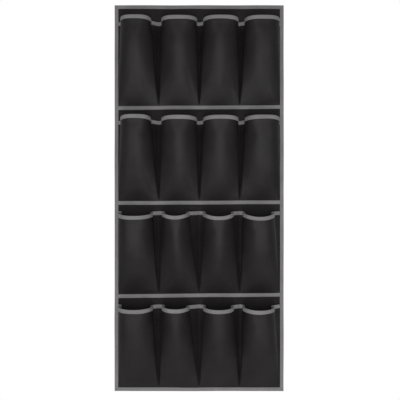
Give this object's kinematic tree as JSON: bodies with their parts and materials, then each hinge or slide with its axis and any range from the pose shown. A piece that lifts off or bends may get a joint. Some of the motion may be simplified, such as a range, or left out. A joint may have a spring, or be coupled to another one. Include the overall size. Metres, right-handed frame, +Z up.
{
  "type": "hanging shoe organizer",
  "caption": "Flat fabric wall panel with rows of open-topped pockets, tape-bound edges, and loops on the back for flat over-door hooks.",
  "frame": {"origin": "lower edge of the centre hanging loop, on the rear plane of the panel", "axes": "+Z up along the panel; -Y out of the front, where the pockets are; +X to the right as seen from the front"},
  "size_m": [0.54, 0.0872, 1.232],
  "materials": {
    "panel_cloth": "matt black woven polyester",
    "pocket_cloth": "matt black woven polyester with a soft sheen",
    "grey_tape": "grey ribbed binding tape",
    "loop_webbing": "black ribbed webbing",
    "black_thread": "black sewing thread",
    "batten_plastic": "matt grey polypropylene"
  },
  "bodies": {
    "row_1_section": {"back_panel_row_1": "panel_cloth", "pocket_strip_row_1": "pocket_cloth", "mouth_binding_row_1": "grey_tape", "seam_threads_row_1": "black_thread", "side_binding_left_row_1": "grey_tape", "side_binding_right_row_1": "grey_tape", "row_tape_1": "grey_tape", "top_binding": "grey_tape", "top_sleeve": "panel_cloth", "top_batten": "batten_plastic", "hanging_loop_left": "loop_webbing", "hanging_loop_centre": "loop_webbing", "hanging_loop_right": "loop_webbing"},
    "row_2_section": {"back_panel_row_2": "panel_cloth", "pocket_strip_row_2": "pocket_cloth", "mouth_binding_row_2": "grey_tape", "seam_threads_row_2": "black_thread", "side_binding_left_row_2": "grey_tape", "side_binding_right_row_2": "grey_tape", "row_tape_2": "grey_tape"},
    "row_3_section": {"back_panel_row_3": "panel_cloth", "pocket_strip_row_3": "pocket_cloth", "mouth_binding_row_3": "grey_tape", "seam_threads_row_3": "black_thread", "side_binding_left_row_3": "grey_tape", "side_binding_right_row_3": "grey_tape", "row_tape_3": "grey_tape"},
    "row_4_section": {"back_panel_row_4": "panel_cloth", "pocket_strip_row_4": "pocket_cloth", "mouth_binding_row_4": "grey_tape", "seam_threads_row_4": "black_thread", "side_binding_left_row_4": "grey_tape", "side_binding_right_row_4": "grey_tape", "bottom_binding": "grey_tape", "bottom_sleeve": "panel_cloth", "bottom_batten": "batten_plastic"}
  },
  "joints": [
    {"name": "fold_1", "type": "hinge", "parent": "row_1_section", "child": "row_2_section", "pos_m": [0, 0, -0.274], "axis": [1, 0, 0], "range_deg": [-60, 0]},
    {"name": "fold_2", "type": "hinge", "parent": "row_2_section", "child": "row_3_section", "pos_m": [0, 0, -0.5775], "axis": [1, 0, 0], "range_deg": [-60, 175]},
    {"name": "fold_3", "type": "hinge", "parent": "row_3_section", "child": "row_4_section", "pos_m": [0, 0, -0.8735], "axis": [1, 0, 0], "range_deg": [-60, 0]}
  ]
}
